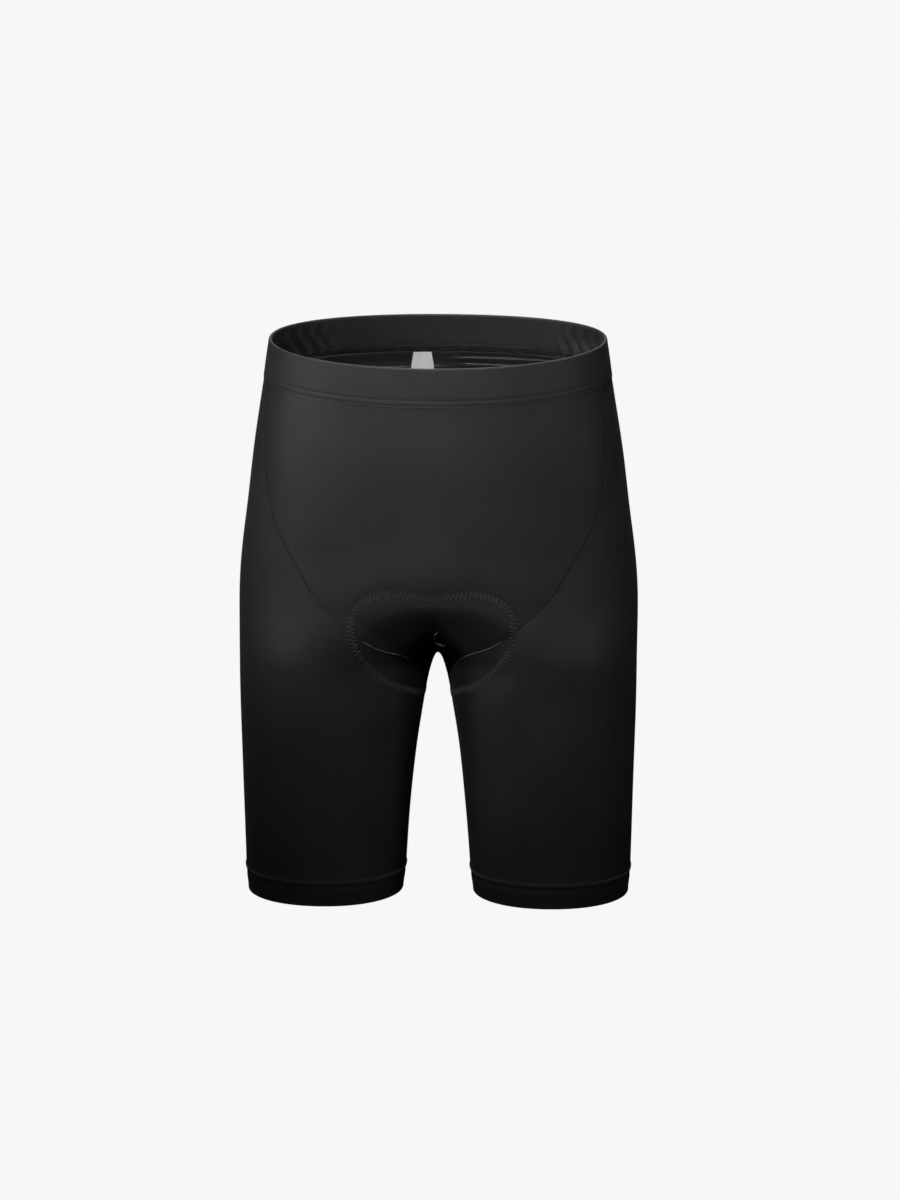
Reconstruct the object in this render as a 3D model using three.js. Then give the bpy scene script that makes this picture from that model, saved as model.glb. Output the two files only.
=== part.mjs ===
// Padded cycling shorts, filled out as when worn, with nobody in them.
// Millimetres, +Z up. The front faces -Y and the wearer's left is +X.
// The origin lies in the middle of the waist opening, at the height of the band's top edge at the sides.

import * as THREE from 'three';

// Cloth and seams

const WALL = 1.5; // thickness of one layer of the knitted cloth
const SEAM_GAP = 0.3; // clearance between pieces that meet at a seam
const BAND_DEPTH = 33; // top edge of the waistband down to the seam below it
const BAND_PROUD = 0.5; // how far the folded band stands out from the panels
const BAND_THICK = 3; // two layers of cloth round the elastic
const BAND_ROUND = 0.9; // how far down its folded top edge is rounded off
const BAND_TAPER = 0.3; // how much each face thins at the seam
const BAND_CROWN = 0.2; // and stands out halfway down
const RIM_SLOPE = 0.09; // the waist's top edge rises towards the back
const RIM_DIP = 3; // and dips by this much at the centre front and centre back
const RIM_REACH = 100; // measured this far from the middle
const HEM_LEVEL = -485; // lower edge of both legs
const HEM_DEPTH = 21.5; // turned-up hem
const HEM_EXTRA = 1.1; // what the turned-up layer adds inside

// Form of the filled-out shorts, from the waist down.
// outer is the side outline and inner the edge of the gap between the legs, both from the middle.
// A negative inner says how far the two leg sections still run into each other above the gap.

const FOLD = 4; // softness of the fold where the two legs part
const ROUNDNESS = 2.1; // exponent of the sections, 2 being an ellipse

const BODY = namedColumns('z outer inner front back', [
  [20, 141.0, -141.0, -98.0, 99.0],
  [0, 143.7, -143.7, -99.5, 101.0],
  [-45, 150.3, -150.3, -104.0, 106.0],
  [-100, 158.7, -158.7, -108.0, 115.0],
  [-150, 165.0, -164.6, -109.0, 122.5],
  [-170, 167.7, -163.0, -108.2, 125.0],
  [-188, 169.8, -153.0, -107.0, 126.0],
  [-205, 171.3, -134.0, -105.2, 125.5],
  [-225, 172.2, -98.0, -102.0, 123.0],
  [-240, 172.3, -62.0, -99.2, 119.3],
  [-252, 172.2, -33.0, -96.8, 115.0],
  [-262, 172.1, -13.0, -95.0, 111.0],
  [-270, 172.0, -1.0, -93.6, 108.0],
  [-276, 171.9, 4.8, -92.7, 106.0],
  [-283, 171.9, 8.0, -91.8, 104.0],
  [-295, 171.8, 10.9, -90.4, 101.5],
  [-320, 171.4, 14.4, -87.8, 97.0],
  [-360, 170.3, 19.8, -83.6, 90.0],
  [-410, 168.9, 24.2, -78.4, 82.5],
  [-450, 167.9, 27.2, -74.4, 77.5],
  [-495, 166.9, 30.2, -70.5, 73.0],
]);

// Cut of the front and back panels: half their width at each distance up from the crotch point

const FRONT_CUT = namedColumns('up half', [
  [0, 20], [30, 19.5], [60, 23], [84, 38], [95, 51], [105, 63], [112, 74], [118, 83],
  [134, 101], [166, 124], [194, 145], [225, 157], [250, 163], [280, 166], [340, 168],
]);

const BACK_CUT = namedColumns('up half', [
  [0, 20], [30, 21], [60, 28], [90, 46], [120, 70], [150, 94], [180, 115],
  [215, 136], [250, 150], [290, 158], [360, 162],
]);

// Outline of the pad: half its width at each distance from the crotch point, front positive

const PAD_CUT = namedColumns('up half', [
  [-205, 30], [-200, 52], [-188, 70], [-165, 82], [-135, 85], [-105, 76], [-75, 58], [-45, 44],
  [0, 37], [43, 40], [70, 51], [85, 58.5], [96, 66], [105, 70], [114, 71.5], [125, 69],
  [136, 61], [143, 50], [147, 34],
]);
const PAD_GAP = 1.15; // clearance between the pad and the cloth that it is sewn to
const PAD_EDGE = 1.6; // thickness at its thin outer edge
const PAD_CORE = 8; // thickness of its foam in the middle
const PAD_END = 35; // length over which its foam thins out at the front and back ends
const PAD_COLUMNS = [0, 0.07, 0.15, 0.27, 0.42, 0.6, 0.8, 1]; // closer together over the fold

// The cloth outside swells a little over the front of the pad

const SWELL = { height: 3, z: -246, halfWidth: 76, halfHeight: 52, reach: 60 };

// White label inside the back

const LABEL = { x: -19, width: 20, drop: 32, thickness: 0.9, clear: 0.6, below: 0.6 };

// Colours

const CLOTH_BLACK = 0x1b1b1c;
const BAND_BLACK = 0x202021;
const PAD_DARK = 0x1d1e20;
const LABEL_WHITE = 0xe9e8e4;

// Mesh resolution

const SEAM_COLUMNS = { crotch: 15, hip: 6, side: 4 };
const CROTCH_STRETCH = 190; // length of seam that takes the closer columns
const LEG_ROWS = 20;
const ROW_SPREAD = 1.25; // brings the rows closer together towards the crotch
const PANEL_COLUMNS = 7; // on each side of the centre line
const BAND_COLUMNS = 52;
const PAD_ROWS = 28;
const HEM_HIP_STEP = 1.25; // hem columns below the hip against those below the crotch
const CENTRE_TOP = 15; // the centre line is worked out from this far above the origin
const CENTRE_STEPS = 240;
const CENTRE_SPREAD = 1.2; // brings its steps closer together towards the crotch
const SEAM_STEPS = 160;
const GRADIENT_STEP = 0.05;
const WALK_STEP = 4; // longest step of a walk over the surface

// Tables and curves

function namedColumns(names, rows) {
  return Object.fromEntries(names.split(' ').map((name, k) => [name, rows.map((row) => row[k])]));
}

function smoothCurve(xs, ys) {
  // Cubic through the rows of a table that never overshoots them
  const order = xs.map((x, k) => k).sort((i, j) => xs[i] - xs[j]);
  const x = order.map((k) => xs[k]);
  const y = order.map((k) => ys[k]);
  const last = x.length - 1;
  const slope = x.slice(0, last).map((left, k) => (y[k + 1] - y[k]) / (x[k + 1] - left));
  const tangent = x.map((here, k) => {
    if (k === 0) return slope[0];
    if (k === last) return slope[last - 1];
    if (slope[k - 1] * slope[k] <= 0) return 0;
    const before = here - x[k - 1];
    const after = x[k + 1] - here;
    const weightBefore = 2 * after + before;
    const weightAfter = after + 2 * before;
    return (weightBefore + weightAfter) / (weightBefore / slope[k - 1] + weightAfter / slope[k]);
  });
  return (at) => {
    const here = THREE.MathUtils.clamp(at, x[0], x[last]);
    let k = 0;
    while (k < last - 1 && here > x[k + 1]) k += 1;
    const span = x[k + 1] - x[k];
    const t = (here - x[k]) / span;
    const t2 = t * t;
    const t3 = t2 * t;
    return (2 * t3 - 3 * t2 + 1) * y[k] + (t3 - 2 * t2 + t) * span * tangent[k]
      + (3 * t2 - 2 * t3) * y[k + 1] + (t3 - t2) * span * tangent[k + 1];
  };
}

const outerAt = smoothCurve(BODY.z, BODY.outer);
const innerAt = smoothCurve(BODY.z, BODY.inner);
const frontAt = smoothCurve(BODY.z, BODY.front);
const backAt = smoothCurve(BODY.z, BODY.back);
const frontCut = smoothCurve(FRONT_CUT.up, FRONT_CUT.half);
const backCut = smoothCurve(BACK_CUT.up, BACK_CUT.half);
const padCut = smoothCurve(PAD_CUT.up, PAD_CUT.half);

// The form as a field: zero on the cloth's outer face, negative inside

function section(z) {
  const outer = outerAt(z);
  const inner = innerAt(z);
  const front = frontAt(z);
  const back = backAt(z);
  return {
    x: (outer + inner) / 2,
    halfX: (outer - inner) / 2,
    y: (front + back) / 2,
    halfY: (back - front) / 2,
  };
}

function swell(p) {
  const bump = Math.max(0, 1 - (p.x / SWELL.halfWidth) ** 2 - ((p.z - SWELL.z) / SWELL.halfHeight) ** 2);
  return SWELL.height * bump * bump * THREE.MathUtils.smoothstep(-p.y, 0, SWELL.reach);
}

function field(p) {
  const { x, halfX, y, halfY } = section(p.z);
  const across = Math.hypot(p.x, FOLD) - x;
  const along = p.y - y;
  const sum = Math.abs(across / halfX) ** ROUNDNESS + Math.abs(along / halfY) ** ROUNDNESS;
  return Math.hypot(across, along) * (1 - 1 / sum ** (1 / ROUNDNESS)) - swell(p);
}

function gradient(p) {
  const along = (axis) => {
    const ahead = field(p.clone().addScaledVector(axis, GRADIENT_STEP));
    const behind = field(p.clone().addScaledVector(axis, -GRADIENT_STEP));
    return (ahead - behind) / (2 * GRADIENT_STEP);
  };
  return new THREE.Vector3(along(X_AXIS), along(Y_AXIS), along(Z_AXIS));
}

const X_AXIS = new THREE.Vector3(1, 0, 0);
const Y_AXIS = new THREE.Vector3(0, 1, 0);
const Z_AXIS = new THREE.Vector3(0, 0, 1);

const normalAt = (p) => gradient(p).normalize();

function settle(p, steps = 2, across = null) {
  // Moves a point onto the outer face, or along the plane that has the normal "across"
  const settled = p.clone();
  for (let k = 0; k < steps; k += 1) {
    const pull = gradient(settled);
    if (across) pull.addScaledVector(across, -pull.dot(across));
    settled.addScaledVector(pull, -field(settled) / pull.lengthSq());
  }
  return settled;
}

const offset = (p, distance) => p.clone().addScaledVector(normalAt(p), distance);

// Points of a section by angle about its own middle: 0 is the outside, -90 degrees the front

const power = (value, exponent) => Math.sign(value) * Math.abs(value) ** exponent;

function sectionPoint(angle, z) {
  const { x, halfX, y, halfY } = section(z);
  const across = x + halfX * power(Math.cos(angle), 2 / ROUNDNESS);
  const along = y + halfY * power(Math.sin(angle), 2 / ROUNDNESS);
  return settle(new THREE.Vector3(Math.sqrt(Math.max(0, across ** 2 - FOLD ** 2)), along, z));
}

function sectionAngle(p) {
  const { x, halfX, y, halfY } = section(p.z);
  const across = (Math.hypot(p.x, FOLD) - x) / halfX;
  const along = (p.y - y) / halfY;
  return Math.atan2(power(along, ROUNDNESS / 2), power(across, ROUNDNESS / 2));
}

// The centre line runs from the front waist under the crotch to the back waist

function centreLine() {
  const levels = [];
  for (let k = 0; k <= CENTRE_STEPS; k += 1) {
    const share = Math.sin(k / CENTRE_STEPS * Math.PI / 2) ** CENTRE_SPREAD;
    levels.push(THREE.MathUtils.lerp(CENTRE_TOP, CROTCH.z, share));
  }
  const side = (sign) => levels.map((z) => {
    const { x, halfX, y, halfY } = section(z);
    const across = Math.min(1, Math.abs((FOLD - x) / halfX));
    const reach = (1 - across ** ROUNDNESS) ** (1 / ROUNDNESS);
    return settle(new THREE.Vector3(0, y + sign * halfY * reach, z), 2, X_AXIS);
  });
  const measure = (points) => {
    const from = points.slice().reverse();
    let run = 0;
    return from.map((p, k) => {
      if (k > 0) run += p.distanceTo(from[k - 1]);
      return { run, y: p.y, z: p.z };
    });
  };
  const curves = [side(-1), side(1)].map((points) => {
    const rows = measure(points);
    const runs = rows.map((row) => row.run);
    return { y: smoothCurve(runs, rows.map((row) => row.y)), z: smoothCurve(runs, rows.map((row) => row.z)) };
  });
  return (up) => {
    const curve = up >= 0 ? curves[0] : curves[1];
    return settle(new THREE.Vector3(0, curve.y(Math.abs(up)), curve.z(Math.abs(up))), 2, X_AXIS);
  };
}

function crotchPoint() {
  // Lowest point of the centre line, where the two leg sections just touch through the fold
  let low = HEM_LEVEL;
  let high = 0;
  for (let k = 0; k < 40; k += 1) {
    const middle = (low + high) / 2;
    if (innerAt(middle) > FOLD) low = middle;
    else high = middle;
  }
  return new THREE.Vector3(0, section(high).y, high);
}

const CROTCH = crotchPoint();
const centreAt = centreLine();

function chart(up, across) {
  // Point at a distance up the centre line from the crotch (front positive, back negative)
  // and at a distance across it over the surface, left positive
  const start = centreAt(up);
  const normal = normalAt(start);
  const plane = new THREE.Vector3().crossVectors(X_AXIS, normal).normalize();
  const distance = Math.abs(across);
  const steps = Math.max(1, Math.ceil(distance / WALK_STEP));
  let p = start;
  for (let k = 0; k < steps; k += 1) {
    const heading = new THREE.Vector3().crossVectors(normalAt(p), plane).normalize();
    p = settle(p.clone().addScaledVector(heading, distance / steps), 1, plane);
  }
  p = settle(p, 2, plane);
  p.x *= Math.sign(across) || 1;
  return p;
}

// Waist edge and seam

function rimLevel(y) {
  return RIM_SLOPE * y - RIM_DIP * (y / RIM_REACH) ** 2;
}

function waistPoint(angle, drop) {
  let p = sectionPoint(angle, -drop);
  for (let k = 0; k < 5; k += 1) p = sectionPoint(angle, rimLevel(p.y) - drop);
  return p;
}

function upToWaist(side, share) {
  // Distance up the centre line at which a line at this share of the panel's width meets the waist seam
  const cut = side > 0 ? frontCut : backCut;
  const target = BAND_DEPTH + SEAM_GAP / 2;
  let up = -CROTCH.z;
  for (let k = 0; k < 6; k += 1) {
    const p = chart(side * up, share * cut(up));
    up += rimLevel(p.y) - target - p.z;
  }
  return up;
}

// Closed solids from grids of points

function closedMesh(positions, faces) {
  const geometry = new THREE.BufferGeometry();
  const numbers = positions.flatMap((p) => [p.x, p.y, p.z]);
  geometry.setAttribute('position', new THREE.Float32BufferAttribute(numbers, 3));
  geometry.setIndex(faces.flat());
  geometry.computeVertexNormals();
  return geometry;
}

function quad(points, a, b, c, d) {
  // Split along the shorter diagonal
  const flat = points[a].distanceTo(points[c]) <= points[b].distanceTo(points[d]);
  return flat ? [[a, b, c], [a, c, d]] : [[b, c, d], [b, d, a]];
}

function sheetSolid(outerGrid, innerGrid) {
  // Rows run downwards and columns to the wearer's left, seen from outside
  const rows = outerGrid.length;
  const columns = outerGrid[0].length;
  const count = rows * columns;
  const at = (row, column, layer) => layer * count + row * columns + column;
  const points = [...outerGrid.flat(), ...innerGrid.flat()];
  const faces = [];
  for (let r = 0; r < rows - 1; r += 1) {
    for (let c = 0; c < columns - 1; c += 1) {
      faces.push(...quad(points, at(r, c, 0), at(r + 1, c, 0), at(r + 1, c + 1, 0), at(r, c + 1, 0)));
      faces.push(...quad(points, at(r, c, 1), at(r, c + 1, 1), at(r + 1, c + 1, 1), at(r + 1, c, 1)));
    }
  }
  const edge = [];
  for (let c = 0; c < columns - 1; c += 1) edge.push([0, c]);
  for (let r = 0; r < rows - 1; r += 1) edge.push([r, columns - 1]);
  for (let c = columns - 1; c > 0; c -= 1) edge.push([rows - 1, c]);
  for (let r = rows - 1; r > 0; r -= 1) edge.push([r, 0]);
  edge.forEach(([r, c], k) => {
    const [nextRow, nextColumn] = edge[(k + 1) % edge.length];
    const corners = [at(r, c, 0), at(nextRow, nextColumn, 0), at(nextRow, nextColumn, 1), at(r, c, 1)];
    faces.push(...quad(points, ...corners));
  });
  return closedMesh(points, faces);
}

function ringSolid(sections) {
  // Closed sections, each running down the outside and up the inside, set one after another in a ring
  const size = sections[0].length;
  const points = sections.flat();
  const faces = [];
  sections.forEach((unused, k) => {
    const next = (k + 1) % sections.length;
    for (let i = 0; i < size; i += 1) {
      const j = (i + 1) % size;
      faces.push(...quad(points, k * size + i, k * size + j, next * size + j, next * size + i));
    }
  });
  return closedMesh(points, faces);
}

const mirrored = (p) => new THREE.Vector3(-p.x, p.y, p.z);

function lined(grid, thickness) {
  return grid.map((row) => row.map((p) => offset(p, -thickness)));
}

// Places along the curved seams, shared by the pieces on both sides of them

function seamStations(side) {
  // Distances up from the crotch that split the seam evenly in its crotch stretch and its hip stretch
  const cut = side > 0 ? frontCut : backCut;
  const top = upToWaist(side, 1);
  const bottom = SEAM_GAP / 2;
  const ups = Array.from({ length: SEAM_STEPS + 1 }, (unused, k) => (
    THREE.MathUtils.lerp(bottom, top, k / SEAM_STEPS)
  ));
  const points = ups.map((up) => chart(side * up, cut(up)));
  const runs = [0];
  for (let k = 1; k <= SEAM_STEPS; k += 1) runs.push(runs[k - 1] + points[k].distanceTo(points[k - 1]));
  const upAt = smoothCurve(runs, ups);
  const stations = [];
  for (let k = 0; k < SEAM_COLUMNS.crotch; k += 1) {
    stations.push(upAt(CROTCH_STRETCH * k / SEAM_COLUMNS.crotch));
  }
  for (let k = 0; k < SEAM_COLUMNS.hip; k += 1) {
    stations.push(upAt(THREE.MathUtils.lerp(CROTCH_STRETCH, runs[SEAM_STEPS], k / SEAM_COLUMNS.hip)));
  }
  return [...stations, top];
}

const SEAM_STATIONS = { 1: seamStations(1), '-1': seamStations(-1) };

// Front and back panels

function panelGrid(side) {
  const cut = side > 0 ? frontCut : backCut;
  const shares = Array.from({ length: PANEL_COLUMNS + 1 }, (unused, k) => k / PANEL_COLUMNS);
  const tops = shares.map((share) => upToWaist(side, share));
  const stations = SEAM_STATIONS[side].slice().reverse();
  return stations.map((station) => {
    const half = shares.map((share, k) => {
      const up = station * tops[k] / stations[0];
      return chart(side * up, share * (cut(up) - SEAM_GAP / 2));
    });
    const row = [...half.slice(1).reverse().map(mirrored), ...half];
    return side > 0 ? row : row.reverse();
  });
}

function panelSolid(side) {
  const grid = panelGrid(side);
  return sheetSolid(grid, lined(grid, WALL));
}

// Leg panels, from the two curved seams and the side of the waist down to the hem

function seamLine(side) {
  const cut = side > 0 ? frontCut : backCut;
  return SEAM_STATIONS[side].map((up) => chart(side * up, cut(up) + SEAM_GAP / 2));
}

function legTop() {
  // Height and angle of each point of the leg's upper edge, from the inseam round the front to the inseam
  const placed = (side) => (p) => {
    const angle = sectionAngle(p);
    const overInseam = side * angle > Math.PI / 2;
    return { z: p.z, angle: overInseam ? angle - side * 2 * Math.PI : angle };
  };
  const front = seamLine(1).map(placed(1));
  const back = seamLine(-1).map(placed(-1)).reverse();
  const from = front[front.length - 1].angle;
  const to = back[0].angle;
  const side = [];
  for (let k = 1; k < SEAM_COLUMNS.side; k += 1) {
    const angle = THREE.MathUtils.lerp(from, to, k / SEAM_COLUMNS.side);
    side.push({ z: waistPoint(angle, BAND_DEPTH + SEAM_GAP / 2).z, angle });
  }
  return [...front, ...side, ...back];
}

function legGrid() {
  const top = legTop();
  const last = top.length - 1;
  const inset = SEAM_GAP / 2 / section(HEM_LEVEL).halfY;
  const from = -Math.PI + inset;
  const span = 2 * (Math.PI - inset);
  const hemShares = hemColumns(last);
  const hemTop = HEM_LEVEL + HEM_DEPTH;
  const levels = [];
  for (let r = 0; r <= LEG_ROWS; r += 1) levels.push((r / LEG_ROWS) ** ROW_SPREAD);
  const grid = levels.map((share) => top.map(({ z, angle }, c) => {
    const turned = THREE.MathUtils.lerp(angle, from + span * hemShares[c], share);
    return sectionPoint(turned, THREE.MathUtils.lerp(z, hemTop, share));
  }));
  const lowest = hemShares.map((share) => sectionPoint(from + span * share, HEM_LEVEL));
  return { grid, lowest };
}

function hemColumns(last) {
  // Even steps round the hem, a little wider where the seam's columns are wider
  const weights = [];
  for (let c = 0; c < last; c += 1) {
    const fromEnd = Math.min(c, last - 1 - c);
    weights.push(fromEnd < SEAM_COLUMNS.crotch ? 1 : HEM_HIP_STEP);
  }
  const total = weights.reduce((sum, weight) => sum + weight, 0);
  let run = 0;
  return [0, ...weights.map((weight) => {
    run += weight / total;
    return run;
  })];
}

function legSolid(side) {
  const { grid, lowest } = legGrid();
  const hemRow = grid[grid.length - 1];
  const outer = [...grid, lowest];
  const inner = [
    ...lined(grid, WALL),
    lowest.map((p) => offset(p, -WALL - HEM_EXTRA)),
  ];
  inner[grid.length - 1] = hemRow.map((p) => offset(p, -WALL - HEM_EXTRA));
  const turn = (rows) => (side > 0 ? rows : rows.map((row) => row.map(mirrored).reverse()));
  return sheetSolid(turn(outer), turn(inner));
}

// Waistband: cloth folded over an elastic

function bandSolid() {
  const profile = [
    { drop: BAND_ROUND, out: BAND_PROUD },
    { drop: BAND_DEPTH / 3, out: BAND_PROUD + BAND_CROWN },
    { drop: 2 * BAND_DEPTH / 3, out: BAND_PROUD + BAND_CROWN },
    { drop: BAND_DEPTH - SEAM_GAP / 2, out: BAND_PROUD - BAND_TAPER },
    { drop: BAND_DEPTH - SEAM_GAP / 2, out: BAND_PROUD - BAND_THICK + BAND_TAPER },
    { drop: BAND_DEPTH / 2, out: BAND_PROUD - BAND_THICK },
    { drop: BAND_ROUND, out: BAND_PROUD - BAND_THICK },
    { drop: 0, out: BAND_PROUD - BAND_THICK / 2 },
  ];
  const sections = [];
  for (let k = 0; k < BAND_COLUMNS; k += 1) {
    const turn = 2 * Math.PI * (k + 0.5) / BAND_COLUMNS;
    const half = turn < Math.PI ? 1 : -1;
    const angle = half > 0 ? turn - Math.PI / 2 : 3 * Math.PI / 2 - turn;
    sections.push(profile.map(({ drop, out }) => {
      const p = offset(waistPoint(angle, drop), out);
      return half > 0 ? p : mirrored(p);
    }));
  }
  return ringSolid(sections);
}

// Pad inside the crotch, fullest along its middle

function padSolid() {
  const front = Math.max(...PAD_CUT.up);
  const back = Math.min(...PAD_CUT.up);
  const shares = [...PAD_COLUMNS.slice(1).reverse().map((share) => -share), ...PAD_COLUMNS];
  const outer = [];
  const inner = [];
  for (let r = 0; r <= PAD_ROWS; r += 1) {
    const up = THREE.MathUtils.lerp(front, back, r / PAD_ROWS);
    const towardsEnds = Math.min(1, Math.min(front - up, up - back) / PAD_END);
    const row = shares.map((share) => chart(up, share * padCut(up)));
    outer.push(row.map((p) => offset(p, -WALL - PAD_GAP)));
    inner.push(row.map((p, k) => {
      const fullness = Math.sqrt((1 - Math.abs(shares[k]) ** 3) * towardsEnds);
      return offset(p, -WALL - PAD_GAP - PAD_EDGE - (PAD_CORE - PAD_EDGE) * fullness);
    }));
  }
  return sheetSolid(outer, inner);
}

// White label, sewn in under the lower edge of the band at the back

function labelSolid() {
  const rows = [0, 0.5, 1];
  const columns = [0.5, 0, -0.5];
  const points = rows.map((down) => columns.map((across) => {
    const x = LABEL.x + across * LABEL.width;
    const z = rimLevel(RIM_REACH) - BAND_DEPTH - LABEL.below - down * LABEL.drop;
    return settle(new THREE.Vector3(x, backAt(z), z), 4);
  }));
  const back = points.map((row) => row.map((p) => offset(p, -WALL - LABEL.clear)));
  const face = points.map((row) => row.map((p) => offset(p, -WALL - LABEL.clear - LABEL.thickness)));
  return sheetSolid(back, face);
}

// The scene graph

function piece(name, geometry, color, roughness) {
  const mesh = new THREE.Mesh(geometry, new THREE.MeshStandardMaterial({ color, roughness, metalness: 0 }));
  mesh.name = name;
  return mesh;
}

const shorts = new THREE.Group();
shorts.name = 'cycling_shorts';
shorts.add(piece('waistband', bandSolid(), BAND_BLACK, 0.6));
shorts.add(piece('front_panel', panelSolid(1), CLOTH_BLACK, 0.55));
shorts.add(piece('back_panel', panelSolid(-1), CLOTH_BLACK, 0.55));
shorts.add(piece('leg_panel_left', legSolid(1), CLOTH_BLACK, 0.55));
shorts.add(piece('leg_panel_right', legSolid(-1), CLOTH_BLACK, 0.55));
shorts.add(piece('pad', padSolid(), PAD_DARK, 0.85));
shorts.add(piece('label', labelSolid(), LABEL_WHITE, 0.8));

export default shorts;
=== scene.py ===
import math

import bpy
import numpy as np
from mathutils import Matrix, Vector


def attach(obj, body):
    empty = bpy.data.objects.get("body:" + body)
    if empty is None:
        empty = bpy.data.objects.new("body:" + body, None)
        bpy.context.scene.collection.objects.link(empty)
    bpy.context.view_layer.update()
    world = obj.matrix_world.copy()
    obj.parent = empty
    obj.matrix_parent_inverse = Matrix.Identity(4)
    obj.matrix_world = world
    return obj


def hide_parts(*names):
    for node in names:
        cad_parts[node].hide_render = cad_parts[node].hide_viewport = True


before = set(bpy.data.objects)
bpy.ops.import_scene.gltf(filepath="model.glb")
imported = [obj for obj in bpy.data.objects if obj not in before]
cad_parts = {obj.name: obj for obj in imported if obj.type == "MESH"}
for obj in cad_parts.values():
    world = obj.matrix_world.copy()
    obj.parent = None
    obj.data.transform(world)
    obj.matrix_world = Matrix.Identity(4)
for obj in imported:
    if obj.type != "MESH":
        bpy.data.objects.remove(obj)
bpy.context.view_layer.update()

MM = 0.001
SIDES = {"left": 1, "right": -1}
FRONT, BACK = 1, -1


def named_columns(names, rows):
    """A table's columns by name, in their order."""
    return dict(zip(names.split(), np.array(rows, float).T))


# Sizes of the garment

FOLD = 2.6  # softness of the fold where the two legs part
ROUNDNESS = 2.1  # exponent of the sections, 2 being an ellipse
SEAM_GAP = 0.9  # the seams show as dark lines of this width
BAND_GAP = 0.3
BAND_DEPTH = 33.0
BAND_THICK = 3.0
BAND_PROUD = 0.5
RIM_SLOPE = 0.09  # the waist's top edge rises towards the back
RIM_DIP = 3.0
RIM_REACH = 100.0
HEM_LEVEL = -485.0
HEM_DEPTH = 21.5

BODY = named_columns("z outer inner front back", [
    (20, 141.0, -141.0, -98.0, 99.0),
    (0, 143.7, -143.7, -99.5, 101.0),
    (-45, 150.3, -150.3, -104.0, 106.0),
    (-100, 158.7, -158.7, -108.0, 115.0),
    (-150, 165.0, -164.6, -109.0, 122.5),
    (-170, 167.7, -163.0, -108.2, 125.0),
    (-188, 169.8, -153.0, -107.0, 126.0),
    (-205, 171.3, -134.0, -105.2, 125.5),
    (-225, 172.2, -98.0, -102.0, 123.0),
    (-240, 172.3, -62.0, -99.2, 119.3),
    (-252, 172.2, -33.0, -96.8, 115.0),
    (-262, 172.1, -13.0, -95.0, 111.0),
    (-270, 172.0, -1.0, -93.6, 108.0),
    (-276, 171.9, 3.0, -92.7, 106.0),
    (-283, 171.9, 5.3, -91.8, 104.0),
    (-295, 171.8, 8.4, -90.4, 101.5),
    (-320, 171.4, 12.9, -87.8, 97.0),
    (-360, 170.3, 19.2, -83.6, 90.0),
    (-410, 168.9, 24.2, -78.4, 82.5),
    (-450, 167.9, 27.2, -74.4, 77.5),
    (-495, 166.9, 30.2, -70.5, 73.0),
])
BODY_SOFTENING = 3.5  # rounds the curves through the table, so that highlights run on

# Cut of the front and back panels: half their width at each distance up from the crotch
FRONT_CUT = named_columns("up half", [
    (0, 20), (30, 19), (60, 21), (84, 32.5), (95, 45), (105, 58.5), (112, 70), (118, 80.5),
    (134, 101), (166, 124), (194, 145), (225, 157), (250, 163), (280, 166), (340, 168),
])
BACK_CUT = named_columns("up half", [
    (0, 20), (30, 21), (60, 28), (90, 46), (120, 70), (150, 94), (180, 115),
    (215, 136), (250, 150), (290, 158), (360, 162),
])
# Outline of the pad: half its width at each distance from the crotch, front positive
PAD_CUT = named_columns("up half", [
    (-205, 30), (-200, 52), (-188, 70), (-165, 82), (-135, 85), (-105, 76), (-75, 58), (-45, 44),
    (0, 37), (43, 40), (70, 51), (85, 58.5), (96, 66), (105, 70), (114, 71.5), (125, 69),
    (136, 61), (143, 50), (147, 34),
])
# The pad pushes the cloth out along its upper edge, and below that the cloth turns under
SWELL = {"height": 3.0, "x": 0.0, "z": -208.0, "half_width": 84.0, "above": 60.0, "below": 70.0}
HOLLOW = {"height": -9.5, "x": 4.0, "z": -254.0, "half_width": 74.0, "above": 40.0, "below": 62.0}

# Cloth, thread and the finer form

CLOTH = 0.9  # one layer of the knit
HEM_CLOTH = 2.1  # two layers, stitched
HEM_STEP = (1.6, 2.4)  # the second layer comes in between these, below the hem's stitches
EDGE_STEPS = np.array([0, 0.35, 0.8, 1.4, 2.2, 3.4, 5.0])  # closer rows beside a cut edge
EDGE = EDGE_STEPS[-1]
EDGE_ROUNDNESS = 0.8
THREAD = 0.55
FINE_THREAD = 0.34

# Sizes of the meshes
FINE_STEP = 0.25  # samples of the curves
PANEL_STEP = 2.6
PANEL_TOP = 300.0  # this far up, a panel has about its full width
TUCK_ROWS, TUCK_STEP = 18.0, 0.55  # close rows run this far down the back, for its tucks
LEG_ROWS, LEG_COLUMNS = 146, 226
BAND_COLUMNS = 420
PAD_STEP, PAD_COLUMNS = 3.2, 57
LABEL_ROWS, LABEL_COLUMNS = 26, 18
LINE_STEP = 1.0
WAIST_POINTS, HEM_POINTS, PAD_POINTS, SEAM_POINTS = 900, 500, 500, 420

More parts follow.
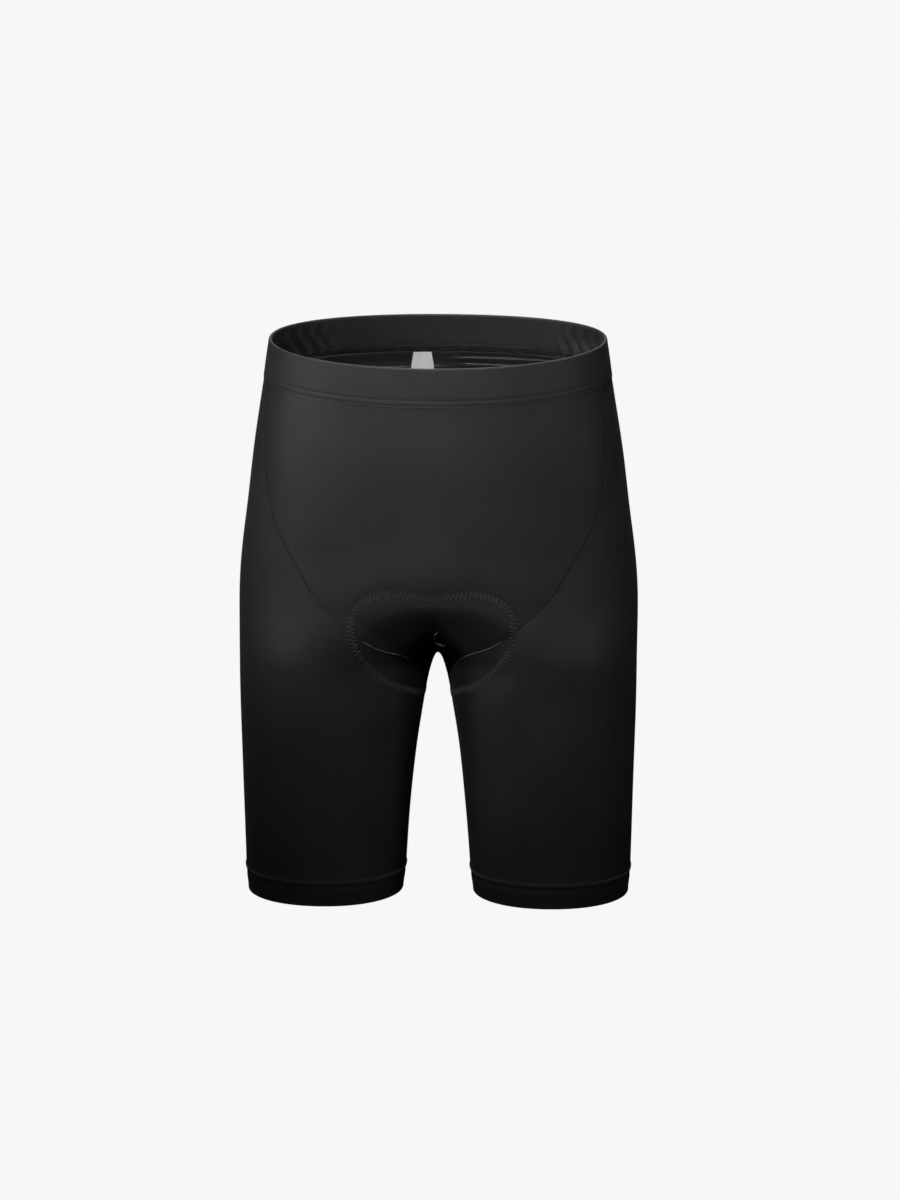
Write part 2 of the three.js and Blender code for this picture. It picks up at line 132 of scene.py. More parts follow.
# Main creases: lines from (x, z) to (x, z) on the front or the back, sunk or raised
CREASES = named_columns("face x1 z1 x2 z2 depth width", [
    # the front's soft folds, running up and out from the crotch
    (FRONT, 30, -262, 92, -214, -0.9, 7),
    (FRONT, -26, -262, -84, -220, -0.7, 6),
    (FRONT, 78, -224, 128, -176, -0.5, 9),
    (FRONT, -88, -232, -136, -190, -0.4, 8),
    (FRONT, 18, -286, 58, -322, -0.6, 6),
    (FRONT, -20, -288, -52, -318, -0.5, 5),
    # down the thighs
    (FRONT, 96, -330, 112, -440, 0.5, 16),
    (FRONT, -104, -318, -112, -424, 0.4, 18),
    (FRONT, 140, -300, 134, -400, -0.4, 12),
    # beside the waist
    (FRONT, -118, -46, -132, -128, 0.7, 10),
    (FRONT, 122, -52, 134, -116, -0.4, 8),
    # the seat: short folds under each side, and down from the middle
    (BACK, 22, -236, 96, -262, -1.4, 7),
    (BACK, 34, -262, 118, -284, -1.0, 8),
    (BACK, -26, -240, -88, -268, -1.2, 6),
    (BACK, -40, -272, -124, -290, -0.8, 9),
    (BACK, 8, -150, 14, -214, -0.8, 8),
    (BACK, -10, -134, -6, -206, -0.6, 6),
    (BACK, 108, -300, 122, -392, 0.6, 12),
    (BACK, -96, -310, -112, -420, 0.5, 14),
    (BACK, 70, -330, 84, -446, -0.5, 10),
    (BACK, -60, -336, -70, -410, -0.5, 9),
])

# Gathers that the elastic draws in under the band at the back: across the back, from the middle
GATHERS = named_columns("x width depth length", [
    (-131, 4.5, -1.0, 26), (-120, 3.6, -0.7, 18), (-110, 5.2, -1.2, 34), (-98, 4.0, -0.8, 20),
    (-84, 4.6, -0.9, 30), (-73, 3.4, -0.6, 15), (-59, 5.0, -0.8, 24), (-44, 4.0, -0.5, 17),
    (-29, 4.6, -0.7, 27), (-12, 3.8, -0.5, 14), (3, 5.2, -0.7, 23), (17, 3.6, -0.5, 16),
    (31, 4.4, -0.8, 28), (46, 4.8, -0.6, 19), (60, 3.8, -0.8, 25), (72, 4.6, -0.7, 17),
    (87, 4.2, -1.0, 31), (99, 3.8, -0.8, 20), (111, 5.0, -1.2, 33), (122, 3.8, -0.7, 19),
    (132, 4.4, -0.9, 24),
])
# Level tucks of the back's inner face: each stands in at its top and slopes back below
TUCKS = named_columns("drop depth fall left right", [
    (33.8, 1.6, 9.0, -140, 24),
    (33.8, 1.4, 3.4, -6, 140),
    (38.4, 1.6, 5.0, -6, 126),
    (44.2, 1.4, 5.4, 4, 118),
    (47.0, 1.4, 9.0, -120, 10),
    (55.0, 1.5, 9.0, -110, 100),
])
TUCK_EDGE = 0.55  # how softly each begins
TUCK_SAG = 0.9
TUCK_FADE = 30.0

# The zigzag, the rows beside the band, the hems and the seams
ZIGZAG = {"width": 6.6, "pitch": 1.85, "inset": -0.8}
ZIGZAG_PAINTED_SHADOW = 0.9  # a dark thread beside the grey, painted shadow between its strands, this much further in
BAND_ROWS = (26.5, 31.3)
BAND_STITCH = {"length": 2.3, "gap": 0.9}
BAND_LOOPER = 1.6
HEM_ROW = HEM_LEVEL + HEM_DEPTH
HEM_STITCH = {"pitch": 1.7, "height": 3.2, "thread": 0.5}
HEM_LOOPER = {"pitch": 1.8, "width": 3.4}
SEAM_ROW = {"beside": 2.4, "length": 2.0, "gap": 0.8}
PAD_SEAM = slice(44, 134)  # the run of the front seam, in mm from the crotch, with a light thread in it whose tone is partly painted highlight of the seam's folded edge
PAD_SEAM_STITCH = {"length": 2.6, "gap": 0.1, "thread": 0.65}
ALLOWANCE = {"width": 5.2, "thick": 0.9, "clear": 0.12}
OVERLOCK_PITCH = 1.5

# Ridges and dips along lines of sewing: their height, and how far they spread
SEAM_DIP = (-0.12, 0.8)
PAD_DIP = (-0.3, 2.8)
PAD_SHOULDER = (-0.6, 7.0)
SHOULDER_LEVELS = (-240, -212)  # the shoulder fades out between these
HEM_RIDGE = (0.5, 1.8)
HEM_DIP = (-0.4, 2.6)
HEM_TAPER = 1.2  # and the cloth below the hem's row draws in by this
DRIFT = 0.16  # height of the cloth's slow unevenness

# The view
CAMERA = {"distance": 4.0, "azimuth": 3.0, "elevation": 11.5, "lens": 139.14, "sensor": 36.0}
LOOK_AT = (0.0, 0.0, -0.229)
ASIDE = 0.01035  # the object stands this far left of the frame's middle
FLOOR_LEVEL = -0.56
FLOOR_SIZE = 60
BACKDROP = (0.929, 0.929, 0.929)


# Curves through tables


def hermite(t, span, y0, y1, slope0, slope1):
    t2, t3 = t * t, t * t * t
    ends = (2 * t3 - 3 * t2 + 1) * y0 + (3 * t2 - 2 * t3) * y1
    return ends + span * ((t3 - 2 * t2 + t) * slope0 + (t3 - t2) * slope1)


def curve_slopes(x, y):
    """Slopes of a cubic through the points that never overshoots them."""
    span = np.diff(x)
    slope = np.diff(y) / span
    tangent = np.concatenate([slope[:1], np.zeros(len(x) - 2), slope[-1:]])
    for k in range(1, len(x) - 1):
        if slope[k - 1] * slope[k] > 0:
            before = 2 * span[k] + span[k - 1]
            after = span[k] + 2 * span[k - 1]
            tangent[k] = (before + after) / (before / slope[k - 1] + after / slope[k])
    return tangent


def softened(values, spread):
    reach = int(4 * spread)
    kernel = np.exp(-0.5 * (np.arange(-reach, reach + 1) / spread) ** 2)
    padded_values = np.pad(values, reach, mode="edge")
    return np.convolve(padded_values, kernel / kernel.sum(), mode="valid")


def smooth_curve(xs, ys, softening=0.0):
    order = np.argsort(xs)
    x, y = xs[order], ys[order]
    slopes = curve_slopes(x, y)
    fine = np.arange(x[0], x[-1] + FINE_STEP / 2, FINE_STEP)
    k = np.clip(np.searchsorted(x, fine, side="right") - 1, 0, len(x) - 2)
    span = x[k + 1] - x[k]
    values = hermite((fine - x[k]) / span, span, y[k], y[k + 1], slopes[k], slopes[k + 1])
    if softening:
        values = softened(values, softening / FINE_STEP)
    return lambda at: np.interp(at, fine, values)


outer_at, inner_at, front_at, back_at = (
    smooth_curve(BODY["z"], BODY[edge], BODY_SOFTENING) for edge in ("outer", "inner", "front", "back")
)
panel_cut = {
    face: smooth_curve(cut["up"], cut["half"], BODY_SOFTENING)
    for face, cut in ((FRONT, FRONT_CUT), (BACK, BACK_CUT))
}
pad_cut = smooth_curve(PAD_CUT["up"], PAD_CUT["half"])


# The form as a field: zero on the cloth's outer face, negative inside

X_AXIS = np.array([1.0, 0.0, 0.0])
GRADIENT_STEP = 0.4


def unit(vectors):
    return vectors / np.linalg.norm(vectors, axis=-1, keepdims=True)


def smoothstep(value, low, high):
    t = np.clip((value - low) / (high - low), 0, 1)
    return t * t * (3 - 2 * t)


def bell(distance, width):
    return np.exp(-((distance / width) ** 2))


def section(z):
    outer, inner, front, back = outer_at(z), inner_at(z), front_at(z), back_at(z)
    return (outer + inner) / 2, (outer - inner) / 2, (front + back) / 2, (back - front) / 2


def field(p):
    x, half_x, y, half_y = section(p[..., 2])
    across = np.hypot(p[..., 0], FOLD) - x
    along = p[..., 1] - y
    total = np.abs(across / half_x) ** ROUNDNESS + np.abs(along / half_y) ** ROUNDNESS
    return np.hypot(across, along) * (1 - total ** (-1 / ROUNDNESS))


def gradient(p):
    steps = GRADIENT_STEP * np.eye(3)
    return np.stack([field(p + s) - field(p - s) for s in steps], -1) / (2 * GRADIENT_STEP)


def normal_at(p):
    return unit(gradient(p))


def settle(p, steps=2, across=None):
    """Moves points onto the outer face, or along the planes that have the normals across."""
    for _ in range(steps):
        pull = gradient(p)
        if across is not None:
            pull = pull - across * (pull * across).sum(-1, keepdims=True)
        p = p - pull * (field(p) / (pull ** 2).sum(-1))[..., None]
    return p


def mirrored(p):
    return p * np.array([-1.0, 1.0, 1.0])


def signed_power(value, exponent):
    return np.sign(value) * np.abs(value) ** exponent


def section_point(angle, z):
    """Points by angle about a section's own middle: 0 is the outside, -90 degrees the front."""
    angle, z = np.broadcast_arrays(angle, z)
    x, half_x, y, half_y = section(z)
    across = x + half_x * signed_power(np.cos(angle), 2 / ROUNDNESS)
    along = y + half_y * signed_power(np.sin(angle), 2 / ROUNDNESS)
    reach = np.sqrt(np.maximum(0, across ** 2 - FOLD ** 2))
    return settle(np.stack([reach, along, z], -1), 3)


def section_angle(p):
    x, half_x, y, half_y = section(p[..., 2])
    across = (np.hypot(p[..., 0], FOLD) - x) / half_x
    along = (p[..., 1] - y) / half_y
    return np.arctan2(signed_power(along, ROUNDNESS / 2), signed_power(across, ROUNDNESS / 2))


# The centre line, from the front waist under the crotch to the back waist

CENTRE_TOP = 15.0
CENTRE_STEPS = 900
CENTRE_CROWDING = 1.2  # the points stand closer together under the crotch
WALK_STEP = 4.0


def crotch_level():
    """The height at which the section's inner edge reaches the fold between the legs."""
    levels = np.arange(-200.0, -320.0, -0.05)
    return float(np.interp(FOLD, inner_at(levels), levels))


CROTCH_LEVEL = crotch_level()


def run_along(points):
    lengths = np.linalg.norm(np.diff(points, axis=0), axis=1)
    return np.concatenate([[0], np.cumsum(lengths)])


def interpolated(at, run, points):
    return np.stack([np.interp(at, run, points[:, k]) for k in range(3)], -1)


def centre_half(sign):
    """The front or back half of the line, as its run up from the crotch and its points."""
    share = np.sin(np.linspace(0, math.pi / 2, CENTRE_STEPS)) ** CENTRE_CROWDING
    z = CROTCH_LEVEL + (CENTRE_TOP - CROTCH_LEVEL) * (1 - share)
    x, half_x, y, half_y = section(z)
    across = np.minimum(1, np.abs((FOLD - x) / half_x))
    reach = (1 - across ** ROUNDNESS) ** (1 / ROUNDNESS)
    start = np.stack([0 * z, y + sign * half_y * reach, z], -1)
    points = settle(start, 3, X_AXIS)[::-1]
    return run_along(points), points


CENTRE_HALVES = {FRONT: centre_half(-1), BACK: centre_half(1)}


def centre_at(up):
    front, back = (interpolated(np.abs(up), *CENTRE_HALVES[face]) for face in (FRONT, BACK))
    return settle(np.where((up >= 0)[..., None], front, back), 1, X_AXIS)


def chart(up, across):
    """Points at a distance up the centre line from the crotch, front positive, and across it."""
    up, across = np.broadcast_arrays(np.asarray(up, float), np.asarray(across, float))
    p = centre_at(up)
    plane = unit(np.cross(X_AXIS, normal_at(p)))
    distance = np.abs(across)
    steps = max(1, math.ceil(distance.max() / WALK_STEP))
    for _ in range(steps):
        heading = unit(np.cross(normal_at(p), plane))
        p = settle(p + heading * (distance / steps)[..., None], 1, plane)
    p = settle(p, 2, plane)
    return np.where((across < 0)[..., None], mirrored(p), p)


def rim_level(y):
    return RIM_SLOPE * y - RIM_DIP * (y / RIM_REACH) ** 2


def below_rim(p):
    return rim_level(p[..., 1]) - p[..., 2]


def waist_point(angle, drop):
    angle, drop = np.broadcast_arrays(angle, drop)
    p = section_point(angle, -drop)
    for _ in range(5):
        p = section_point(angle, rim_level(p[..., 1]) - drop)
    return p


# Lines on the cloth, as close rows of points

PAST_WAIST = 70.0  # a seam is followed this far, and cut off where it meets the band
PAD_LINE_SOFTENING = 9
PAD_END_POINTS = 40
PAD_FRONT_DIP = 3.6  # the outline's front edge dips towards its middle


def resampled(points, step):
    run = run_along(points)
    count = max(2, round(run[-1] / step) + 1)
    return interpolated(np.linspace(0, run[-1], count), run, points)


def seam_half(face, shift=0.0):
    """A curved seam on the wearer's left, from the crotch up to the band."""
    up = np.linspace(SEAM_GAP / 2, -CROTCH_LEVEL + PAST_WAIST, SEAM_POINTS)
    points = chart(face * up, panel_cut[face](up) + shift)
    return resampled(points[below_rim(points) >= BAND_DEPTH], LINE_STEP)


def inseam():
    levels = np.arange(CROTCH_LEVEL - 1.0, HEM_LEVEL, -LINE_STEP)
    return section_point(np.full(levels.shape, math.pi), levels)


def waist_angles(turn):
    """Section angles for turns from the centre front past the wearer's left, and which lie there."""
    on_left = turn <= math.pi
    return np.where(on_left, turn - math.pi / 2, 1.5 * math.pi - turn), on_left


def waist_line(drop):
    angle, on_left = waist_angles(np.linspace(0, 2 * math.pi, WAIST_POINTS))
    points = waist_point(angle, drop)
    return np.where(on_left[:, None], points, mirrored(points))


def hem_line():
    return section_point(np.linspace(-math.pi, math.pi, HEM_POINTS), HEM_ROW)


def pad_line(inset):
    """The pad's outline on the outer face, from its front middle round the wearer's left."""
    table = np.stack([PAD_CUT["up"], PAD_CUT["half"]], -1)[::-1]
    run = run_along(table)
    at = np.linspace(0, run[-1], PAD_POINTS)
    up, half = (softened(np.interp(at, run, column), PAD_LINE_SOFTENING) for column in table.T)
    front = np.linspace(0, half[0], PAD_END_POINTS)[:-1]
    dip = PAD_FRONT_DIP * (1 - smoothstep(front, 0, half[0]))
    back = np.linspace(half[-1], 0, PAD_END_POINTS)[1:]
    up = np.concatenate([up[0] - dip, up, np.full(back.shape, up[-1])])
    half = np.concatenate([front, half, back])
    outline = resampled(np.stack([up, half, 0 * up], -1), LINE_STEP)
    direction = unit(np.gradient(outline[:, :2], axis=0))
    outward = np.stack([direction[:, 1], -direction[:, 0]], -1)
    moved = outline[:, :2] + outward * inset
    return chart(moved[:, 0], np.maximum(0, moved[:, 1]))


SEAMS = {
    "front_seam": seam_half(FRONT),
    "back_seam": seam_half(BACK),
    "inseam": inseam(),
}
PAD_OUTLINE = pad_line(0.0)


# Relief of the cloth: seams, creases, the pad's edge and the hem

CREASE_BOW = 0.08  # of a crease's length
GATHER_FADE = 1.6
BATCH = 4000  # points compared with a line at a time


def distance_to(points, line):
    """Shortest distances from points to a line of close points."""
    flat = points.reshape(-1, 3)
    nearest = np.empty(len(flat))
    for start in range(0, len(flat), BATCH):
        part = flat[start:start + BATCH]
        squared = ((part[:, None, :] - line[None, :, :]) ** 2).sum(-1)
        nearest[start:start + BATCH] = np.sqrt(squared.min(1))
    return nearest.reshape(points.shape[:-1])


def halved(points):
    """Points brought to the wearer's left, because the two sides are cut alike."""
    return np.where(points[..., :1] < 0, mirrored(points), points)


def crease_relief(p):
    """The main creases, each a slight bow that fades at its ends."""
    total = np.zeros(p.shape[:-1])
    x, z = p[..., 0], p[..., 2]
    facing = np.where(p[..., 1] < section(z)[2], FRONT, BACK)
    for face, x1, z1, x2, z2, depth, width in zip(*CREASES.values()):
        run_x, run_z = x2 - x1, z2 - z1
        length = np.hypot(run_x, run_z)
        along = ((x - x1) * run_x + (z - z1) * run_z) / length ** 2
        aside = ((x - x1) * run_z - (z - z1) * run_x) / length
        bow = CREASE_BOW * length * (1 - (2 * along - 1) ** 2)
        fade = smoothstep(along, -0.25, 0.25) * (1 - smoothstep(along, 0.6, 1.25))
        total += (facing == face) * depth * fade * bell(aside - bow, width)
    return total


def gather_relief(p):
    """Upright puckers that the elastic draws in under the band at the back."""
    drop = below_rim(p) - BAND_DEPTH
    behind = smoothstep(p[..., 1], 8, 40)
    total = np.zeros(drop.shape)
    for x, width, depth, length in zip(*GATHERS.values()):
        total += depth * bell(p[..., 0] - x, width) * np.exp(-np.maximum(0, drop) / length * GATHER_FADE)
    return total * behind * smoothstep(drop, -2, 3)


def tuck_relief(p):
    """Level tucks of the back's inner face, below the band."""
    drop = below_rim(p)
    x = p[..., 0]
    total = np.zeros(drop.shape)
    for drop_at, depth, fall, left, right in zip(*TUCKS.values()):
        reach = smoothstep(x, left, left + TUCK_FADE) * (1 - smoothstep(x, right - TUCK_FADE, right))
        sag = TUCK_SAG * np.sin(x / 31.0 + drop_at) * (drop_at > BAND_DEPTH + 1)
        below = drop - drop_at - sag
        slope = np.where(below < 0, bell(below, TUCK_EDGE), np.clip(1 - below / fall, 0, 1))
        total = np.maximum(total, depth * reach * slope)
    return total * smoothstep(p[..., 1], 20, 50)


def drift_relief(p):
    """Slow unevenness of stretched cloth."""
    x, y, z = p[..., 0], p[..., 1], p[..., 2]
    waves = np.sin(x / 23 + z / 61) * np.sin(z / 34 - y / 47 + 1.3) + 0.6 * np.sin(z / 19 + x / 41 + 2.1)
    return DRIFT * waves


def mound(p, form):
    """A soft mound or hollow, round its own middle."""
    across = np.abs((p[..., 0] - form["x"]) / form["half_width"]) ** 2.2
    up = p[..., 2] - form["z"]
    up = (up / np.where(up > 0, form["above"], form["below"])) ** 2
    return form["height"] * np.maximum(0, 1 - across - up) ** 1.5


def pad_swell(p):
    """Stands out over the pad and in below it, where the cloth faces the front."""
    facing = np.clip(-face_normals(p)[..., 1], 0, 1)
    return (mound(p, SWELL) + mound(p, HOLLOW)) * facing


def ridge(distance, form):
    height, spread = form
    return height * bell(distance, spread)


def relief(p):
    """How far the cloth stands out from the smooth form."""
    half = halved(p)
    to_seam = np.min([distance_to(half, line[::2]) for line in SEAMS.values()], axis=0)
    to_pad = distance_to(half, PAD_OUTLINE[::2])
    total = pad_swell(p) + ridge(to_seam, SEAM_DIP) + ridge(to_pad, PAD_DIP)
    total += ridge(to_pad, PAD_SHOULDER) * smoothstep(p[..., 2], *SHOULDER_LEVELS)
    total += crease_relief(p) + gather_relief(p) + drift_relief(p)
    level = p[..., 2] - HEM_ROW
    hem = ridge(level - 0.2, HEM_RIDGE) + ridge(level + 4.2, HEM_DIP)
    return total + (hem - HEM_TAPER * smoothstep(-level, 3, 20))


# Meshes


CLOTH_ANGLE = 50.0  # edges sharper than this stay sharp
THREAD_ANGLE = 80.0


def select_none():
    bpy.ops.object.select_all(action="DESELECT")


def placed_object(name, data):
    thing = bpy.data.objects.new(name, data)
    bpy.context.collection.objects.link(thing)
    return thing


def finished_object(name, points, faces, finish, uv=None, angle=CLOTH_ANGLE):
    """A mesh in metres, smooth but for its sharp edges."""
    mesh = bpy.data.meshes.new(name)
    mesh.from_pydata((np.asarray(points) * MM).tolist(), [], faces)
    mesh.update()
    if uv is not None:
        layer = mesh.uv_layers.new(name="cloth")
        corners = np.empty(len(mesh.loops), np.int32)
        mesh.loops.foreach_get("vertex_index", corners)
        layer.data.foreach_set("uv", (np.asarray(uv) * MM)[corners].ravel().astype(np.float32))
    mesh.materials.append(finish)
    thing = placed_object(name, mesh)
    select_none()
    thing.select_set(True)
    bpy.context.view_layer.objects.active = thing
    bpy.ops.object.shade_smooth_by_angle(angle=math.radians(angle))
    select_none()
    return thing


def grid_faces(rows, columns):
    at = np.arange(rows * columns).reshape(rows, columns)
    return np.stack([at[:-1, :-1], at[1:, :-1], at[1:, 1:], at[:-1, 1:]], -1).reshape(-1, 4)


def edge_loop(rows, columns):
    at = np.arange(rows * columns).reshape(rows, columns)
    return np.concatenate([at[0, :-1], at[:-1, -1], at[-1, :0:-1], at[:0:-1, 0]])


def closed_sheet(outer, inner):
    """Points and faces of a sheet from its two faces: rows run down, columns to the wearer's left."""
    rows, columns = outer.shape[:2]
    count = rows * columns
    quads = grid_faces(rows, columns)
    loop = edge_loop(rows, columns)
    following = np.roll(loop, -1)
    rim = np.stack([loop, following, following + count, loop + count], -1)
    faces = np.concatenate([quads, quads[:, ::-1] + count, rim])
    return np.concatenate([outer.reshape(-1, 3), inner.reshape(-1, 3)]), faces.tolist()


def lifted(base, normals, height):
    """Points moved off the smooth form along its normals."""
    return base + normals * height[..., None]


def shell_object(name, node, outer, inner, uv, finish):
    """A closed sheet that takes a solid's place."""
    points, faces = closed_sheet(outer, inner)
    piece = finished_object(name, points, faces, finish, np.concatenate([uv.reshape(-1, 2)] * 2))
    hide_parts(node)
    return piece


def joined_object(name, parts, finish, angle=THREAD_ANGLE):
    """One mesh of several closed parts, each given as its points and its faces."""
    offset, faces = 0, []
    for points, own_faces in parts:
        faces.extend([[corner + offset for corner in face] for face in own_faces])
        offset += len(points)
    points = np.concatenate([points for points, _ in parts])
    return finished_object(name, points, faces, finish, angle=angle)


def ring_object(name, sections, uv, finish):
    """Closed sections set one after another in a ring."""
    count, size = sections.shape[:2]
    k, i = np.meshgrid(np.arange(count), np.arange(size), indexing="ij")
    following, beside = (k + 1) % count, (i + 1) % size
    faces = np.stack([k * size + i, k * size + beside, following * size + beside, following * size + i], -1)
    return finished_object(name, sections.reshape(-1, 3), faces.reshape(-1, 4).tolist(), finish, uv)


def graded(length, step):
    """Shares of a length, at even steps but closer together beside both cut edges."""
    count = max(2, math.ceil((length - 2 * EDGE) / step) + 1)
    middle = np.linspace(EDGE, length - EDGE, count)
    return np.concatenate([EDGE_STEPS[:-1], middle, (length - EDGE_STEPS[:-1])[::-1]])


def edge_rounding(distance, thickness):
    """How far a face draws in beside a cut edge of this thickness."""
    radius = thickness / 2
    near = np.clip(1 - distance / radius, 0, 1)
    return radius * (1 - np.sqrt(1 - near ** 2)) * EDGE_ROUNDNESS


# Finishes


class Signal:
    """A shader socket that arithmetic can be written with."""

    def __init__(self, finish, socket):
        self.finish = finish
        self.socket = socket

    def maths(self, operation, *values):
        return self.finish.node("ShaderNodeMath", {"operation": operation}, dict(enumerate(values)))

    def __add__(self, other):
        return self.maths("ADD", self, other)

    def __mul__(self, other):
        return self.maths("MULTIPLY", self, other)

    __radd__ = __add__
    __rmul__ = __mul__

    def sine(self):
        return self.maths("SINE", self)

    def size(self):
        return self.maths("ABSOLUTE", self)

    def between(self, low, high):
        settings = {"interpolation_type": "SMOOTHSTEP"}
        inputs = {"Value": self, "From Min": low, "From Max": high}
        return self.finish.node("ShaderNodeMapRange", settings, inputs)


class Finish:
    """A material, with the one way in which its nodes are made."""

    def __init__(self, name, **constants):
        self.material = bpy.data.materials.new(name)
        self.material.use_nodes = True
        self.tree = self.material.node_tree
        self.shader = self.tree.nodes["Principled BSDF"]
        for socket, value in constants.items():
            self.shader.inputs[socket.replace("_", " ")].default_value = value

    def node(self, kind, settings=None, inputs=None, output=0):
        made = self.tree.nodes.new(kind)
        for name, value in (settings or {}).items():
            setattr(made, name, value)
        for socket, value in (inputs or {}).items():
            if isinstance(value, Signal):
                self.tree.links.new(value.socket, made.inputs[socket])
            else:
                made.inputs[socket].default_value = value
        return Signal(self, made.outputs[output])

    def place(self, kind="Object"):
        return self.node("ShaderNodeTexCoord", output=kind)

    def parts(self, vector):
        made = self.node("ShaderNodeSeparateXYZ", inputs={0: vector})
        outputs = made.socket.node.outputs
        return [Signal(self, outputs[k]) for k in range(3)]

    def noise(self, vector, scale, detail=2.0, roughness=0.5):
        inputs = {"Vector": vector, "Scale": scale, "Detail": detail, "Roughness": roughness}
        return self.node("ShaderNodeTexNoise", inputs=inputs)

    def mixed(self, amount, first, second):
        settings = {"data_type": "RGBA"}
        return self.node("ShaderNodeMix", settings, {0: amount, 6: first, 7: second}, output=2)

    def bump(self, height, strength, distance):
        inputs = {"Height": height, "Strength": strength, "Distance": distance}
        return self.node("ShaderNodeBump", inputs=inputs)

    def wear(self, colour, roughness, normal):
        for socket, signal in (("Base Color", colour), ("Roughness", roughness), ("Normal", normal)):
            self.tree.links.new(signal.socket, self.shader.inputs[socket])
        return self.material


def grey(value):
    return (value, value, value, 1.0)


WALE = 0.00055  # ribs of the knit, side to side, in metres
COURSE = 0.00042  # and its rows, up and down
RIBBON_WARP = 0.0003
RIBBON_WEFT = 0.00045


def knit_height(finish):
    """Fine upright ribs of a warp knit, broken by its rows, on the cloth's own coordinates."""
    u, v, _ = finish.parts(finish.place("UV"))
    rib = (u * (math.pi / WALE)).sine().size()
    row = (v * (math.pi / COURSE) + (u * (2 * math.pi / WALE)).sine()).sine().size()
    return rib * 0.7 + row * 0.3


def knit_finish(name, tone, roughness, depth):
    finish = Finish(name, Specular_IOR_Level=0.4, Sheen_Weight=0.03, Sheen_Roughness=0.4)
    place = finish.place()
    cloud = finish.noise(place, 22.0, detail=3.0)
    grain = finish.noise(place, 900.0, detail=1.0)
    knit = knit_height(finish)
    tint = (cloud * 0.7 + grain * 0.3).between(0.25, 0.75)
    colour = finish.mixed(tint, grey(tone * 0.86), grey(tone * 1.12))
    normal = finish.bump(knit * 0.8 + grain * 0.2, 0.35, depth)
    return finish.wear(colour, roughness - 0.05 + cloud * 0.1, normal)


def thread_finish(name, tone):
    finish = Finish(name, Specular_IOR_Level=0.25)
    place = finish.place()
    strand = finish.noise(place, 2600.0, detail=1.0)
    colour = finish.mixed(strand, grey(tone * 0.75), grey(tone * 1.2))
    return finish.wear(colour, 0.6 + strand * 0.25, finish.bump(strand, 0.4, 0.0001))


def pad_finish():
    finish = Finish("brushed_pad_cloth", Specular_IOR_Level=0.3, Sheen_Weight=0.3, Sheen_Roughness=0.6)
    place = finish.place()
    nap = finish.noise(place, 1400.0, detail=2.0, roughness=0.6)
    cloud = finish.noise(place, 30.0)
    colour = finish.mixed(cloud * 0.6 + nap * 0.4, (0.022, 0.023, 0.026, 1), (0.044, 0.045, 0.05, 1))
    return finish.wear(colour, 0.8 + nap * 0.15, finish.bump(nap, 0.5, 0.00025))


def ribbon_finish():
    finish = Finish("white_ribbon", Specular_IOR_Level=0.4, Sheen_Weight=0.15)
    u, v, _ = finish.parts(finish.place("UV"))
    warp = (u * (math.pi / RIBBON_WARP)).sine().size()
    weft = (v * (math.pi / RIBBON_WEFT)).sine().size()
    cloud = finish.noise(finish.place(), 160.0)
    colour = finish.mixed(cloud, (0.74, 0.73, 0.71, 1), (0.88, 0.875, 0.86, 1))
    normal = finish.bump(warp * 0.5 + weft * 0.5, 0.4, 0.00008)
    return finish.wear(colour, 0.5 + warp * 0.12, normal)


def plain_light_finish():
    """The stage's even pale tone, which gives off its own light."""
    return Finish(
        "pale_stage", Base_Color=grey(0), Roughness=1.0, Specular_IOR_Level=0.0,
        Emission_Color=(*BACKDROP, 1), Emission_Strength=1.0,
    ).material


CLOTH_FINISH = knit_finish("black_knit", 0.022, 0.52, 0.00012)
BAND_FINISH = knit_finish("black_band_knit", 0.024, 0.55, 0.00012)
# black thread, its tone set darker than the black cloth as painted shade of the needle holes
DARK_THREAD_AND_SHADE = thread_finish("black_thread_and_shade", 0.006)
GREY_THREAD = thread_finish("grey_thread", 0.07)
HEM_THREAD = thread_finish("hem_thread", 0.085)
# a light thread, its tone partly painted highlight along the pad seam's folded edge
SEAM_THREAD_AND_HIGHLIGHT = thread_finish("seam_thread_and_highlight", 0.19)
PALE_THREAD = thread_finish("pale_thread", 0.4)
PAD_FINISH = pad_finish()
RIBBON_FINISH = ribbon_finish()


# Front and back panels


def waist_ups(face, shares):
    """How far up the centre line each column of a panel meets the band, found step by step."""
    target = BAND_DEPTH + BAND_GAP / 2
    up = np.full(shares.shape, -CROTCH_LEVEL)
    for _ in range(7):
        p = chart(face * up, shares * panel_cut[face](up))
        up = up + below_rim(p) - target
    return up


def panel_places(face):
    """Distances up and across for each point of a panel, rows running down from the waist."""
    shares = np.linspace(-1, 1, math.ceil(2 * panel_cut[face](PANEL_TOP) / PANEL_STEP))
    side_steps = EDGE_STEPS[:-1]
    edge_count = len(side_steps)
    tops = waist_ups(face, np.pad(shares, edge_count, mode="edge"))
    length = tops.max() - SEAM_GAP / 2
    down = graded(length, PANEL_STEP)
    if face == BACK:
        down = np.concatenate([np.arange(0, TUCK_ROWS, TUCK_STEP), down[down > TUCK_ROWS]])
    down = down / length
    up = SEAM_GAP / 2 + (tops[None, :] - SEAM_GAP / 2) * (1 - down[:, None])
    half = panel_cut[face](up[:, edge_count:-edge_count]) - SEAM_GAP / 2
    middle = shares * (half - EDGE)
    left = -(panel_cut[face](up[:, :edge_count]) - SEAM_GAP / 2) + side_steps
    right = panel_cut[face](up[:, -edge_count:]) - SEAM_GAP / 2 - side_steps[::-1]
    return up, np.concatenate([left, middle, right], axis=1)


def panel_object(name, node, face):
    up, across = panel_places(face)
    base = chart(face * up, across)
    if face == BACK:
        base, up, across = base[:, ::-1], up[:, ::-1], across[:, ::-1]
    normals = normal_at(base)
    height = relief(base)
    outer = lifted(base, normals, height)
    inner = lifted(base, normals, height - CLOTH - tuck_relief(base))
    return shell_object(name, node, outer, inner, np.stack([across, face * up], -1), CLOTH_FINISH)


# Leg panels

